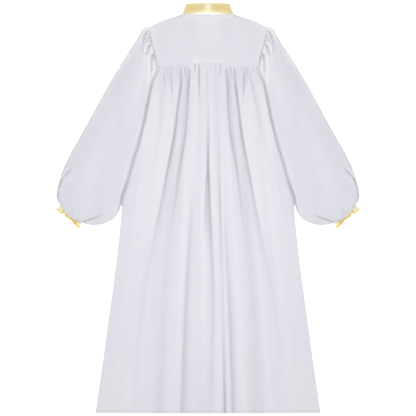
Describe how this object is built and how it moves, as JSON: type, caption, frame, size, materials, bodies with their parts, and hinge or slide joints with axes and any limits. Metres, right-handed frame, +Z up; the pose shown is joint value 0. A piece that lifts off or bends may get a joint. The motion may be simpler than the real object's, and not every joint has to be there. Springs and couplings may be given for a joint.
{
  "type": "choir robe",
  "caption": "White choir robe with a gathered back, gold satin stand collar and gathered satin cuffs, laid flat with its back up.",
  "frame": {"origin": "middle of the robe's bounding box, on the surface that it lies on", "axes": "+X across the robe towards the wearer's right sleeve, +Y along it towards the collar, +Z up out of its back"},
  "size_m": [1.0514, 1.4093, 0.03],
  "materials": {
    "white_cloth": "matte woven polyester, cool white",
    "gold_satin": "gold polyester satin with a soft sheen"
  },
  "bodies": {
    "root": {"back_yoke": "white_cloth", "back_skirt": "white_cloth", "left_front": "white_cloth", "right_front": "white_cloth", "left_sleeve": "white_cloth", "right_sleeve": "white_cloth", "left_cuff": "gold_satin", "right_cuff": "gold_satin", "collar": "gold_satin"}
  },
  "joints": []
}
